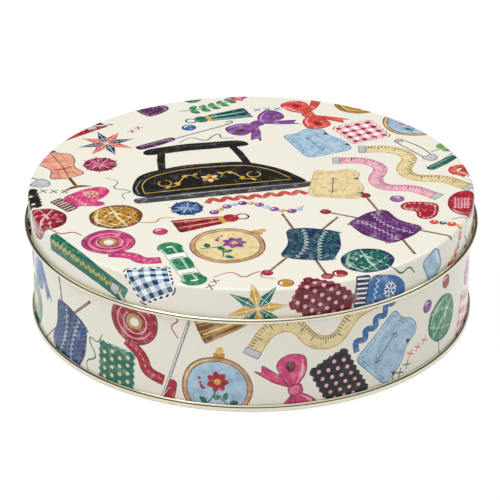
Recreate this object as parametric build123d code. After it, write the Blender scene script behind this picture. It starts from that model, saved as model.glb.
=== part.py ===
from build123d import *

import math
import os

# A low round tin with a lift-off lid, stamped and rolled from thin tinplate.
# Millimetres. The origin is the centre of the circle that the tin stands on. +Z is up,
# -Y is the front, and the wall's lock seam is at the back, on +Y.

# ---- driving dimensions ----
sheet = 0.28                # thickness of the tinplate, the same in all three pieces
tin_height = 58.0           # table to the top of the closed lid
wall_radius = 98.5          # outside of the body wall

lid_clearance = 0.4         # all round, between the body wall and the lid's skirt
lid_rest_gap = 0.05         # left between the lid's panel and the mouth that it rests on
lid_edge_radius = 1.6       # outside radius where the lid's panel turns down into the skirt
lid_curl_radius = 1.25      # outside radius of the rolled edge round the skirt
lid_curl_height = 43.9      # table to the centre of that roll
lid_curl_turn = 300         # degrees that the edge is rolled through

mouth_curl_radius = 1.0     # outside radius of the inward roll round the body's mouth
mouth_curl_turn = 270

base_seam_height = 3.3      # table to the top of the double seam
base_seam_gap = 0.08        # left between one layer of the double seam and the next
base_seam_corner = 0.5      # mean radius of the two corners that the tin stands on
base_panel_depth = 3.2      # table to the underside of the recessed base
base_panel_corner = 0.8     # mean radius where the base turns down into the seam
hook_clearance = 0.3        # left between the end of a hook and the fold it points into

lock_seam_width = 4.5       # along the wall
lock_seam_gap = 0.05        # left between one layer of the lock seam and the next
lock_seam_bottom = 4.5      # the lock seam stops above the base and below the mouth's roll,
lock_seam_top = 55.0        # where the corners of the sheet are notched to one layer

# ---- derived places ----
wall_middle = wall_radius - sheet / 2
lid_radius = wall_radius + lid_clearance + sheet
lid_middle = lid_radius - sheet / 2
mouth_top = tin_height - sheet - lid_rest_gap
seam_pitch = sheet + base_seam_gap              # from one layer of the double seam to the next
lock_pitch = sheet + lock_seam_gap              # from one layer of the lock seam to the next
body_fold_height = 2 * seam_pitch + sheet / 2
base_fold_height = base_seam_height - seam_pitch - sheet / 2


# ---- one sheet that follows a path ----
def polar(angle, length=1.0):
    return Vector(math.cos(math.radians(angle)), math.sin(math.radians(angle))) * length


def run(length):
    """A straight stretch of the sheet."""
    return [("run", length, 0)]


def bend(radius, angle):
    """A round bend of this mean radius. A positive angle turns left."""
    return [("bend", radius, angle)]


def press(radius, angle, corners):
    """A bend made of flats that touch the round bend of this mean radius, to keep the facets few."""
    half = radius * math.tan(math.radians(abs(angle) / corners / 2))
    return [("run", half, 0), ("turn", 0, angle / corners), ("run", half, 0)] * corners


def bent_sheet(start, heading, *stretches):
    """The section of a sheet whose middle starts at a point and follows the stretches."""
    spot = Vector(*start)
    edges = []
    ends = [spot + polar(heading + side, sheet / 2) for side in (90, -90)]
    start_ends = ends

    def draw(new_ends, middles=None):
        nonlocal ends
        for index, (old, new) in enumerate(zip(ends, new_ends)):
            if middles:
                edges.append(ThreePointArc(old, middles[index], new))
            elif (new - old).length > 1e-6:
                edges.append(Line(old, new))
        ends = new_ends

    for kind, size, angle in [step for stretch in stretches for step in stretch]:
        if kind == "run":
            spot += polar(heading, size)
        elif kind == "turn":
            mitre = sheet / 2 / math.cos(math.radians(angle / 2))
            draw([spot + polar(heading + angle / 2 + side, mitre) for side in (90, -90)])
            heading += angle
        else:
            draw([spot + polar(heading + side, sheet / 2) for side in (90, -90)])
            inward = heading + math.copysign(90, angle)
            centre = spot + polar(inward, size)
            swept = [[(end - centre).rotate(Axis.Z, share * angle) + centre for end in ends]
                     for share in (0.5, 1)]
            spot = (spot - centre).rotate(Axis.Z, angle) + centre
            heading += angle
            draw(swept[1], swept[0])
    draw([spot + polar(heading + side, sheet / 2) for side in (90, -90)])
    edges += [Line(*start_ends), Line(*ends)]
    return make_face(edges)


def spun(section):
    """The ring or dish that a section drawn as (radius, height) makes round the tin's axis."""
    return revolve(Plane.XZ * section, Axis.Z)


# ---- lid: one drawn stamping, its edge rolled outwards into a false wire ----
def make_lid():
    edge_turn = lid_edge_radius - sheet / 2
    return spun(bent_sheet(
        (0, tin_height - sheet / 2), 0,
        run(lid_middle - edge_turn),
        press(edge_turn, -90, 3),
        run(tin_height - lid_edge_radius - lid_curl_height),
        press(lid_curl_radius - sheet / 2, lid_curl_turn, 5),
    ))


# ---- body wall: a rolled strip, hooked to itself at the back ----
def make_lock_seam():
    """The two ends of the strip in plan, hooked together in four layers that lie flush outside,
    and the angles round the tin where the plain wall takes over from them."""
    layer = [wall_middle - depth * lock_pitch for depth in range(4)]
    width = math.degrees(lock_seam_width / wall_middle)
    hook = width - math.degrees((lock_pitch + hook_clearance) / wall_middle)
    joggle = 2 * math.degrees(math.asin(3 * lock_pitch / 2 / layer[1]))
    fold_at = 90 + width / 2                    # where the outer end turns back on itself
    outer_end = bent_sheet(
        polar(fold_at - width, layer[0]), fold_at - width + 90,
        bend(layer[0], width),
        bend(lock_pitch, 180),
        bend(layer[2], -hook),
    )
    inner_end = bent_sheet(
        polar(fold_at - width + hook, layer[1]), fold_at - width + hook - 90,
        bend(layer[1], -hook),
        bend(lock_pitch, -180),
        bend(layer[3], width),
        bend(2 * lock_pitch, joggle / 2 - 90),
        bend(lock_pitch, 90 + joggle / 2),
    )
    return outer_end + inner_end, fold_at - width, fold_at + joggle


def make_body_wall():
    mouth_roll = mouth_curl_radius - sheet / 2
    hoop = spun(bent_sheet(
        (wall_middle + 2 * seam_pitch, base_fold_height - hook_clearance), -90,
        run(base_fold_height - hook_clearance - body_fold_height),
        press(seam_pitch, -180, 3),
        run(mouth_top - mouth_curl_radius - body_fold_height),
        press(mouth_roll, mouth_curl_turn, 6),
    ))
    seam, seam_start, seam_end = make_lock_seam()
    height = lock_seam_top - lock_seam_bottom
    notch = Plane.XZ * Pos(wall_middle, lock_seam_bottom + height / 2) * Rectangle(1, height)
    window = Rot(0, 0, seam_start) * revolve(notch, Axis.Z, seam_end - seam_start)
    return hoop - window + Pos(0, 0, lock_seam_bottom) * extrude(seam, height)


# ---- base: a recessed panel whose edge wraps the wall's flange in a double seam ----
def make_base_panel():
    chuck_wall = wall_middle - seam_pitch
    panel_middle = base_panel_depth + sheet / 2
    corner_height = base_seam_corner + sheet / 2
    return spun(bent_sheet(
        (0, panel_middle), 0,
        run(chuck_wall - base_panel_corner),
        press(base_panel_corner, -90, 1),
        run(panel_middle - base_panel_corner - corner_height),
        press(base_seam_corner, 90, 2),
        run(4 * seam_pitch - 2 * base_seam_corner),
        press(base_seam_corner, 90, 2),
        run(base_fold_height - corner_height),
        press(seam_pitch, 180, 3),
        run(base_fold_height - hook_clearance - body_fold_height),
    ))


pieces = {
    "lid": make_lid(),
    "body_wall": make_body_wall(),
    "base_panel": make_base_panel(),
}

os.makedirs("parts", exist_ok=True)
for name, piece in pieces.items():
    export_step(piece, f"parts/{name}.step")
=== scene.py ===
import math
import random

import bpy
import numpy as np
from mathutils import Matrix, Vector
from mathutils.geometry import delaunay_2d_cdt


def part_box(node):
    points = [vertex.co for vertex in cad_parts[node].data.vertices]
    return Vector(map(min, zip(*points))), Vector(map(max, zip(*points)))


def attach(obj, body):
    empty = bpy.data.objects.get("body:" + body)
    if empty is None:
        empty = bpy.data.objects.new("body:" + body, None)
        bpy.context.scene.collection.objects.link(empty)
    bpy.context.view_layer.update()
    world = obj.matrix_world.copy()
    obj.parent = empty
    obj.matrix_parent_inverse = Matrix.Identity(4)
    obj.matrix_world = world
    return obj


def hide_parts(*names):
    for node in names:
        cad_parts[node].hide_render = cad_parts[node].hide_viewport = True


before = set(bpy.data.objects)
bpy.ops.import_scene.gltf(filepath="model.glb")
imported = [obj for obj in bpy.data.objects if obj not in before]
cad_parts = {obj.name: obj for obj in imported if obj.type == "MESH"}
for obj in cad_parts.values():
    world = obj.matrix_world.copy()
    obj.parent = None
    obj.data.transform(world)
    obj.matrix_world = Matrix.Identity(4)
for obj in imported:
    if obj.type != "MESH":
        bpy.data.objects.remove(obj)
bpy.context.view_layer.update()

# A low round sewing tin of thin tinplate: a printed lid over a printed body, with rolled
# edges that show the gold lacquer of the sheet's other side. Sizes are millimetres, and
# MM turns them into the scene's metres.

MM = 0.001

# ---- sizes of the sheet metal, from the centre of the circle that the tin stands on ----
TIN_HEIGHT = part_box("lid")[1].z / MM
SHEET = 0.28                    # thickness of the tinplate
WALL = 98.5                     # outside radius of the body wall
SKIRT = 99.18                   # outside radius of the lid's skirt
LID_EDGE = 1.6                  # outside radius of the bend between the lid's top and skirt
LID_ROLL = 1.25                 # radius of the rolled edge round the skirt
LID_ROLL_HEIGHT = 43.9          # middle of that roll
LID_ROLL_TURN = 315             # degrees that the edge is rolled through
LID_REST_GAP = 0.05             # between the lid's panel and the mouth that it rests on
MOUTH_ROLL = 1.0                # radius of the inward roll round the body's mouth
MOUTH_ROLL_TURN = 285
SEAM_HEIGHT = 3.3               # top of the double seam round the base
SEAM_PITCH = 0.36               # from one layer of the double seam to the next
SEAM_CORNER = 0.5               # radius of the corners that the tin stands on
SEAM_SWELL = 18                 # degrees that the seam's outer wall curves away each way
SEAM_FACE = 99.5                # what is beyond this radius belongs to that wall
SEAM_LEAN = 34                  # degrees that its normals lean in each millimetre from the middle
PANEL_HEIGHT = 3.34             # middle of the recessed base's sheet
PANEL_CORNER = 0.8              # radius where the base turns down into the seam
HOOK_CLEARANCE = 0.3            # between the end of a hook and the fold it points into
LOCK_SEAM_WIDTH = 4.5           # the upright seam at the back of the body wall
LOCK_SEAM_DEPTH = 0.99          # how far its four layers stand inside the wall
LOCK_SEAM_SUNK = 0.1            # how far the fold's block reaches into the wall
LOCK_SEAM_ROUND = 0.3           # radius of the fold's edges
LOCK_SEAM_GROOVE = 0.25         # depth of the groove that the fold leaves outside
LOCK_SEAM_HEIGHTS = (4.5, 55.0)
GROOVE_SIDE = 0.3               # from the middle of the groove to its edge
GROOVE_STEPS = 9                # points up the groove

TURNS = 240                     # steps round the tin
ARC_STEP = 15                   # degrees between the points of a bend's section
EDGE_STEPS = 6                  # steps over the lid's edge
ROLL_STEPS = 12                 # steps of print over the mouth's roll
WELD = 0.0005                   # points closer than this become one
SAME_PLACE = 0.01               # lengths closer than this count as equal
CREASE = math.radians(35)       # sharper edges than this stay sharp

WALL_MIDDLE = WALL - SHEET / 2
MOUTH_HEIGHT = TIN_HEIGHT - SHEET - LID_REST_GAP
BODY_FOLD_HEIGHT = 2 * SEAM_PITCH + SHEET / 2
BASE_FOLD_HEIGHT = SEAM_HEIGHT - SEAM_PITCH - SHEET / 2
MOUTH_CENTRE = MOUTH_HEIGHT - MOUTH_ROLL
PRINT_FOOT = 2.2                # where the wall's print begins, inside the double seam
GROOVE_TURN = 1.6               # degrees from the back to the middle of the fold's groove
GROOVE_MIDDLE = math.radians(GROOVE_TURN) * WALL
WALL_GIRTH = 2 * math.pi * WALL
LID_FLAT = SKIRT - LID_EDGE     # radius of the flat part of the lid's top
EDGE_ARC = LID_EDGE * math.pi / 2
LID_PRINT = LID_FLAT + EDGE_ARC + TIN_HEIGHT - LID_EDGE - LID_ROLL_HEIGHT


# ---- sections and the rings that they sweep ----
def polar(angle, length=1.0):
    return Vector((math.cos(math.radians(angle)), math.sin(math.radians(angle)))) * length


def section(start, heading, *stretches):
    """Points of a line drawn as (radius, height). A stretch is a length to run, or a radius
    and an angle to bend through, where a positive angle turns left."""
    spot = Vector(start)
    points = [spot.copy()]
    for stretch in stretches:
        if isinstance(stretch, tuple):
            radius, angle = stretch
            inward = heading + math.copysign(90, angle)
            centre = spot + polar(inward, radius)
            steps = max(1, round(abs(angle) / ARC_STEP))
            for step in range(1, steps + 1):
                points.append(centre - polar(inward + angle * step / steps, radius))
            heading += angle
            spot = points[-1].copy()
        elif stretch:
            spot = spot + polar(heading, stretch)
            points.append(spot.copy())
    return points


def both_sides(start, heading, *stretches):
    """The closed section of a sheet whose middle follows the stretches."""
    def side(offset):
        begin = Vector(start) + polar(heading + 90, offset)
        return section(begin, heading, *[
            (part[0] - math.copysign(offset, offset * part[1]), part[1])
            if isinstance(part, tuple) else part for part in stretches])
    return side(SHEET / 2) + side(-SHEET / 2)[::-1]


def start_piece(name, x, z):
    """A new object, left in edit mode with one selected vertex."""
    bpy.ops.object.select_all(action="DESELECT")
    bpy.ops.mesh.primitive_plane_add(size=MM)
    piece = bpy.context.object
    piece.name = name
    bpy.ops.object.mode_set(mode="EDIT")
    bpy.ops.mesh.merge(type="CENTER")
    bpy.ops.transform.translate(value=(x * MM, 0, z * MM))
    return piece


def lathe(name, line):
    """Draws a section point by point and spins it round the tin's axis."""
    piece = start_piece(name, line[0].x, line[0].y)
    for here, there in zip(line, line[1:]):
        bpy.ops.mesh.extrude_vertices_move(TRANSFORM_OT_translate={
            "value": ((there.x - here.x) * MM, 0, (there.y - here.y) * MM)})
    bpy.ops.mesh.select_all(action="SELECT")
    bpy.ops.mesh.spin(steps=TURNS, angle=2 * math.pi, center=(0, 0, 0), axis=(0, 0, 1))
    close_piece()
    return piece


def close_piece():
    """Merges what meets, turns the faces outwards and leaves edit mode."""
    bpy.ops.mesh.select_all(action="SELECT")
    bpy.ops.mesh.remove_doubles(threshold=WELD * MM)
    bpy.ops.mesh.normals_make_consistent(inside=False)
    bpy.ops.object.mode_set(mode="OBJECT")
    bpy.ops.object.transform_apply(location=True, rotation=True, scale=True)


# ---- printing on flat sheet: shapes laid over one another, then bent into the tin ----
FLAT_WELD = 0.0004              # points of the flat print closer than this become one


class Print:
    """A flat sheet's print, in millimetres. A later shape covers an earlier one."""

    def __init__(self, keep_inside):
        self.points = []
        self.folds = []
        self.shapes = []
        self.inks = []
        self.keep_inside = keep_inside

    def fold(self, line, closed=False):
        """A line that the sheet's mesh follows, where the sheet is bent or ends."""
        first = len(self.points)
        count = len(line)
        self.points += line
        self.folds += [(first + step, first + (step + 1) % count)
                       for step in range(count if closed else count - 1)]

    def shape(self, outline, ink):
        """A closed shape of one ink, whose outline becomes edges of the sheet's mesh."""
        inside = [self.keep_inside(point) for point in outline]
        self.fold(inside, closed=True)
        self.shapes.append(np.array([tuple(point) for point in inside]))
        self.inks.append(ink)

    def inks_on(self, centres):
        """The ink of the topmost shape over each of these places."""
        order = centres[:, 0].argsort()
        x, y = centres[order].T
        top = np.full(len(centres), -1)
        for index, outline in enumerate(self.shapes):
            low, high = outline.min(axis=0), outline.max(axis=0)
            first, last = np.searchsorted(x, (low[0], high[0]))
            near = first + np.flatnonzero((y[first:last] > low[1]) & (y[first:last] < high[1]))
            here, there = outline, np.roll(outline, -1, axis=0)
            rise = there[:, 1] - here[:, 1]
            above = y[near, None] - here[:, 1]
            crosses = (above >= 0) != (y[near, None] - there[:, 1] >= 0)
            share = above / np.where(rise == 0, 1, rise)
            passes = x[near, None] < here[:, 0] + share * (there[:, 0] - here[:, 0])
            winding = (np.sign(rise) * (crosses & passes)).sum(axis=1)
            top[order[near[winding != 0]]] = index
        plain = INK["cream"]
        return np.array([INK[self.inks[index]] if index >= 0 else plain for index in top])

    def mesh(self, name, bent, mapped):
        """The printed sheet. bent gives a flat point's place on the tin, and mapped gives the
        places on the map of every face's corners."""
        flats, _, faces, _, _, _ = delaunay_2d_cdt(self.points, self.folds, [], 0, FLAT_WELD)
        mesh = bpy.data.meshes.new(name)
        mesh.from_pydata([bent(flat) * MM for flat in flats], [], faces)
        corners = np.array([tuple(flat) for flat in flats])[np.array(faces)]
        ink = mesh.color_attributes.new("ink", "FLOAT_COLOR", "CORNER")
        ink.data.foreach_set("color", np.repeat(self.inks_on(corners.mean(axis=1)), 3,
                                                axis=0).ravel())
        mask = mesh.attributes.new("printed", "BOOLEAN", "FACE")
        mask.data.foreach_set("value", [True] * len(faces))
        layer = mesh.uv_layers.new(name="OFBake")
        layer.data.foreach_set("uv", mapped(corners).ravel())
        return mesh


# ---- inks ----
def colour(code):
    """A linear colour from a code of red, green and blue in hexadecimal."""
    parts = [int(code[place:place + 2], 16) / 255 for place in (0, 2, 4)]
    return [part / 12.92 if part <= 0.04045 else ((part + 0.055) / 1.055) ** 2.4
            for part in parts]


# each ink's colour, and how watery it is laid on
INK = {name: (*colour(code), water) for name, code, water in (
    ("cream", "f1eddf", 0.0),
    ("white", "fbfaf4", 0.0),
    ("black", "171416", 0.1),
    ("soot", "454148", 0.4),
    ("grey", "8b898c", 0.4),
    ("silver", "c2c4ca", 0.35),
    ("maroon", "6c1729", 0.35),
    ("crimson", "b01c30", 0.45),
    ("coral", "e0503c", 0.5),
    ("salmon", "efa488", 0.5),
    ("pink", "d9417f", 0.5),
    ("rose", "f2b3c4", 0.5),
    ("plum", "59265f", 0.4),
    ("violet", "874799", 0.5),
    ("lilac", "c6a4d2", 0.5),
    ("teal", "12705f", 0.45),
    ("green", "2c8a4b", 0.5),
    ("leaf", "6da54f", 0.5),
    ("mint", "a8d2bc", 0.5),
    ("navy", "21305d", 0.4),
    ("blue", "2c6cb0", 0.5),
    ("sky", "a8c8df", 0.5),
    ("ochre", "c58f2a", 0.4),
    ("gold", "d9b04a", 0.4),
    ("straw", "ecd8a0", 0.4),
    ("tan", "c8996a", 0.5),
    ("brown", "76472a", 0.45),
)}


# ---- brushes: outlines in millimetres ----
FULL = 99                       # a corner radius that takes all the room there is
CURVE_STEP = 0.9                # about the length of the pieces of a rounded corner
SPECK = 1e-6                    # a length too short to have a direction


def curve(points, radius=FULL, closed=False):
    """A line through the sides of a run of points, with its corners rounded."""
    points = [Vector(point) for point in points]
    count = len(points)
    line = []
    for index, corner in enumerate(points):
        if not closed and index in (0, count - 1):
            line.append(corner)
            continue
        before = points[index - 1] - corner
        after = points[(index + 1) % count] - corner
        start = corner + before * min(radius / max(before.length, SAME_PLACE), 0.5)
        end = corner + after * min(radius / max(after.length, SAME_PLACE), 0.5)
        steps = min(12, max(2, round((end - start).length / CURVE_STEP) + 1))
        for step in range(steps + 1):
            share = step / steps
            line.append(start.lerp(corner, share).lerp(corner.lerp(end, share), share))
    return line


def shape(points, radius=FULL):
    return curve(points, radius, closed=True)


def disc(x, y, across, high=None, turn=0, wave=0.0, waves=5):
    """An oval, with an uneven edge where wave is given as a share of its size."""
    high = high or across
    count = max(9, round(3.2 * max(across, high) ** 0.7 * (1.6 if wave else 1.2)))
    points = []
    for step in range(count):
        angle = 360 * step / count
        swell = 1 + wave * math.sin(math.radians(angle * waves + 40 * across))
        points.append(Vector((across / 2 * math.cos(math.radians(angle)),
                              high / 2 * math.sin(math.radians(angle)))) * swell)
    return [turned(point, turn) + Vector((x, y)) for point in points]


def turned(point, angle):
    sine, cosine = math.sin(math.radians(angle)), math.cos(math.radians(angle))
    return Vector((point[0] * cosine - point[1] * sine, point[0] * sine + point[1] * cosine))


def moved(outline, x, y, turn=0):
    return [turned(point, turn) + Vector((x, y)) for point in outline]


def block(x, y, width, height, turn=0, radius=0.4):
    """A rectangle with softened corners."""
    w, h = width / 2, height / 2
    return moved(shape([(-w, -h), (w, -h), (w, h), (-w, h)], radius), x, y, turn)


def leaf(x, y, length, width, turn=0):
    """A leaf or petal that grows from a point."""
    outline = shape([(0, 0), (length * 0.35, width * 0.62), (length, 0),
                     (length * 0.35, -width * 0.62)], length * 0.45)
    return moved(outline, x, y, turn)


def grown(outline, margin):
    """An outline moved outwards, or inwards where the margin is negative."""
    count = len(outline)
    area = sum(here.x * there.y - there.x * here.y
               for here, there in zip(outline, outline[1:] + outline[:1]))
    side = math.copysign(margin, margin * area)
    made = []
    for index, point in enumerate(outline):
        way = outline[(index + 1) % count] - outline[index - 1]
        if way.length > SPECK:
            made.append(point + Vector((way.y, -way.x)).normalized() * side)
    return made


def stroke(points, width, taper=0.35):
    """A brush stroke along a line, thinner towards its ends where taper is under 1."""
    line = [Vector(point) for point in points]
    left, right = [], []
    last = len(line) - 1
    for index, point in enumerate(line):
        way = line[min(index + 1, last)] - line[max(index - 1, 0)]
        if way.length < SPECK:
            continue
        swell = taper + (1 - taper) * abs(math.sin(math.pi * index / last)) ** 0.6
        side = Vector((-way.y, way.x)).normalized() * width / 2 * swell
        left.append(point + side)
        right.append(point - side)
    return left + right[::-1]


def arc(x, y, across, start, end, high=None, step=14):
    """Part of an oval, from one angle to another."""
    high = high or across
    count = max(3, round(abs(end - start) / step))
    return [Vector((x + across / 2 * math.cos(math.radians(start + (end - start) * k / count)),
                    y + high / 2 * math.sin(math.radians(start + (end - start) * k / count))))
            for k in range(count + 1)]


def evenly(line, spacing):
    """Points at even distances along a line."""
    reach = [0]
    for here, there in zip(line, line[1:]):
        reach.append(reach[-1] + (there - here).length)
    stops = np.linspace(0, reach[-1], max(2, round(reach[-1] / spacing) + 1))
    xs = np.interp(stops, reach, [point.x for point in line])
    ys = np.interp(stops, reach, [point.y for point in line])
    return [Vector(pair) for pair in zip(xs, ys)]


class Drawing:
    """A motif, drawn about its own middle."""

    def __init__(self):
        self.shapes = []

    def fill(self, outline, ink):
        self.shapes.append((outline, ink))

    def line(self, points, width, ink, taper=0.35):
        self.fill(stroke(points, width, taper), ink)

    def edged(self, outline, ink, edge, width=0.5):
        """A filled shape with a drawn edge."""
        self.fill(grown(outline, width / 2), edge)
        self.fill(grown(outline, -width / 2), ink)

    def dashes(self, points, length, width, ink):
        """Running stitches along a line."""
        line = [Vector(point) for point in points]
        travelled = 0
        for here, there in zip(line, line[1:]):
            run_length = (there - here).length
            while travelled < run_length:
                start = here.lerp(there, travelled / run_length)
                end = start + (there - here).normalized() * length
                self.line([start, start.lerp(end, 0.5), end], width, ink, 0.7)
                travelled += length * 1.9
            travelled -= run_length

    def half_size(self):
        every = [point for outline, _ in self.shapes for point in outline]
        return (max(abs(point.x) for point in every), max(abs(point.y) for point in every))


# ---- motifs: things from a workbox, each drawn in its own function ----
def flat_iron():
    d = Drawing()
    for foot in (-17, 16):
        d.line([(foot, 4), (foot * 0.92, 14), (foot * 0.84, 20)], 3.2, "black", 0.9)
    d.fill(shape([(-22, 19), (-20, 25), (0, 26.5), (19, 25), (21, 19), (0, 20)], 5), "black")
    d.line(curve([(-19, 23), (0, 24.4), (18, 23)]), 0.7, "soot")
    d.fill(shape([(-31, -17), (-31, -6), (-26, 4), (-10, 8), (14, 7), (26, -2), (34, -15),
                  (33, -17)], 9), "black")
    d.fill(shape([(-32, -21), (-32.5, -16.5), (0, -15.6), (35, -16.5), (37, -19), (33, -21)],
                 2.5), "soot")
    d.line([(-31, -17.4), (0, -16.6), (35, -17.6)], 0.5, "silver")
    d.line(curve([(-27, -13), (-27, -5), (-22, 1), (-9, 4.6), (13, 3.8), (23, -3), (28.5, -12)]),
           0.5, "gold", 0.8)
    d.line([(-27, -13.2), (0, -12.6), (28.5, -13.2)], 0.5, "gold", 0.8)
    for side in (-1, 1):
        scroll = [(side * (4 + 12 * t) - 1, -5.5 + 4.2 * math.sin(t * 5.5)) for t in
                  np.linspace(0, 1, 14)]
        d.line(scroll, 0.6, "gold")
        for t in (2, 4, 6, 8, 10, 12):
            d.fill(leaf(*scroll[t], 3.1, 1.5, side * 60 + (100 if t % 4 else -100)), "gold")
        d.line(arc(side * 17 - 1, -6.2, 5, 90, 90 + side * 330), 0.55, "gold")
    for k in range(6):
        d.fill(leaf(-1, -5.6, 4.2, 2.3, 60 * k + 30), "ochre" if k % 2 else "straw")
    d.fill(disc(-1, -5.6, 1.7), "crimson")
    d.line(curve([(-25, 0.5), (-18, 5), (-6, 6.6), (9, 6)]), 0.6, "soot")
    d.line([(-29.2, -14), (-29.4, -8), (-26.5, -1.5)], 0.7, "grey")
    return d


def yarn_ball(ink, dark, pale):
    d = Drawing()
    d.line(curve([(6, -7), (13, -10.5), (16, -6), (21, -8.5)]), 0.8, ink, 0.7)
    d.fill(disc(0, 0, 21, 20, 0, 0.012, 7), dark)
    for bundle, (turn, count) in enumerate(((35, 7), (-50, 6), (95, 6))):
        for k in range(count):
            offset = (k - (count - 1) / 2) * 2.3
            half = math.sqrt(max(4, 90 - offset * offset * 1.1))
            strand = [(-half, offset * 0.8), (0, offset * 1.35 + 1.4), (half, offset * 0.8)]
            d.line(moved(curve(strand), 0, 0, turn), 1.25,
                   (ink, pale, ink)[(k + bundle) % 3], 0.4)
    return d


def hoop(cloth, petal, leaf_ink):
    d = Drawing()
    d.fill(block(0, 14.6, 4.6, 3.4), "ochre")
    d.fill(disc(0, 17.4, 3.2), "gold")
    d.edged(disc(0, 0, 28), "tan", "brown", 0.45)
    d.fill(disc(0, 0, 24.6), "brown")
    d.fill(disc(0, 0, 24), cloth)
    d.line(arc(0, 0, 26.2, 100, 190), 0.5, "straw")
    d.line(curve([(-5, -9), (-1, -4), (0, 1)]), 0.7, leaf_ink, 0.8)
    d.line(curve([(6, -7.5), (3, -5), (0, -3)]), 0.6, leaf_ink, 0.8)
    for x, y, turn in ((-3.2, -6.8, 150), (-1.4, -4.6, 20), (3.4, -5.4, 80), (5.4, -6.6, 20)):
        d.fill(leaf(x, y, 4.8, 2.6, turn), leaf_ink)
    for k in range(7):
        d.fill(leaf(0, 3, 5.6, 3.4, 360 / 7 * k), petal)
        d.line([(0, 3), turned((3.4, 0), 360 / 7 * k) + Vector((0, 3))], 0.4, "maroon")
    d.fill(disc(0, 3, 2.8), "gold")
    for k in range(5):
        d.fill(disc(-7.5 + 0.5 * k, 3.5 - 2.2 * k + 0.3 * k * k, 1.3), petal)
    return d


def pinked(width, height, tooth=1.5):
    """The outline of cloth cut with pinking shears."""
    corners = [(-width / 2, -height / 2), (width / 2, -height / 2), (width / 2, height / 2),
               (-width / 2, height / 2)]
    outline = []
    for here, there in zip(corners, corners[1:] + corners[:1]):
        here, there = Vector(here), Vector(there)
        count = round((there - here).length / tooth / 2)
        way = (there - here) / count
        out = Vector((way.y, -way.x)).normalized() * tooth * 0.6
        for k in range(count):
            outline += [here + way * k, here + way * (k + 0.5) + out]
    return outline


def gingham(ink, pale, size=19):
    d = Drawing()
    d.fill(pinked(size, size), ink)
    d.fill(pinked(size - 0.9, size - 0.9), "white")
    step = size / 7
    for k in (-3, -1, 1, 3):
        d.fill(block(k * step * 0.93, 0, step * 0.9, size - 1.4), pale)
        d.fill(block(0, k * step * 0.93, size - 1.4, step * 0.9), pale)
    for i in (-3, -1, 1, 3):
        for j in (-3, -1, 1, 3):
            d.fill(block(i * step * 0.93, j * step * 0.93, step * 0.9, step * 0.9), ink)
    return d


def dotted_cloth(ink, dot, edge):
    d = Drawing()
    d.fill(pinked(24, 17), edge)
    d.fill(pinked(23, 16), ink)
    for row in range(4):
        for k in range(6):
            x, y = -9.4 + 3.7 * k + (1.85 if row % 2 else 0), -5.6 + 3.8 * row
            if x < 10.4:
                d.fill(disc(x, y, 1.8), dot)
    return d


def tape_measure(ink, edge):
    d = Drawing()
    path = evenly(curve([(-27, -5), (-20, 5), (-9, 6), (-3, -5), (7, -7), (14, 3), (26, 5)]),
                  1.3)
    d.fill(stroke(path, 6.2, 1), edge)
    d.fill(stroke(path, 5.4, 1), ink)
    for index, (here, there) in enumerate(zip(path, path[1:])):
        way = there - here
        side = Vector((-way.y, way.x)).normalized()
        long = 3.1 if index % 5 == 0 else 1.5
        d.line([here + side * 2.6, here + side * (2.6 - long)], 0.4, "soot", 1)
    for end, way in ((path[0], path[1] - path[0]), (path[-1], path[-2] - path[-1])):
        turn = math.degrees(math.atan2(way.y, way.x))
        d.edged(block(end.x, end.y, 3, 6.6, turn), "silver", "grey", 0.4)
    return d


def safety_pin(size):
    d = Drawing()

    def sized(points):
        return [Vector(point) * size for point in points]

    d.line(sized([(-11, -2.1), (0, -2.3), (10, -2.1)]), 0.85 * size, "grey", 1)
    d.line(sized(curve([(-11, 2.1), (-2, 3.6), (9, 2.1)])), 0.7 * size, "soot", 0.8)
    d.line(arc(-11.4 * size, 0, 4.2 * size, 80, 280), 0.9 * size, "grey", 1)
    d.line(arc(-11 * size, 0, 2.2 * size, 0, 330), 0.6 * size, "soot", 1)
    cap = sized([(8, -3.4), (8, 3.4), (12, 3.2), (14.4, 0), (12, -3.2)])
    d.edged(shape(cap, 1.6 * size), "silver", "grey", 0.5)
    d.line(sized([(9.4, 1.8), (11.6, 1.4)]), 0.6 * size, "white")
    return d


def knitting(ink, dark, pale):
    d = Drawing()
    for side in (-1, 1):
        d.line([turned((-27, 0), 24 * side), turned((27, 0), 24 * side)], 1.5, "brown", 0.75)
        d.line([turned((-26, 0.25), 24 * side), turned((25, 0.25), 24 * side)], 0.45, "straw")
        d.edged(disc(*turned((-27.5, 0), 24 * side), 4.2), "crimson", "maroon", 0.5)
    d.fill(shape([(-12.5, -12), (-13.5, 1), (-11, 8.5), (0, 5.6), (11, 8.5), (13.5, 1),
                  (12.5, -12), (0, -14.5)], 3.5), dark)
    for row in range(7):
        level = -11.6 + 2.55 * row
        for k in range(10):
            x = -10.8 + 2.4 * k
            dip = level + 0.02 * x * x * (1 if row > 3 else -0.4)
            d.line([(x - 1.0, dip + 1.1), (x, dip - 0.5), (x + 1.0, dip + 1.1)], 1.0,
                   pale if row in (2, 4) else ink, 0.6)
    return d


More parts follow.
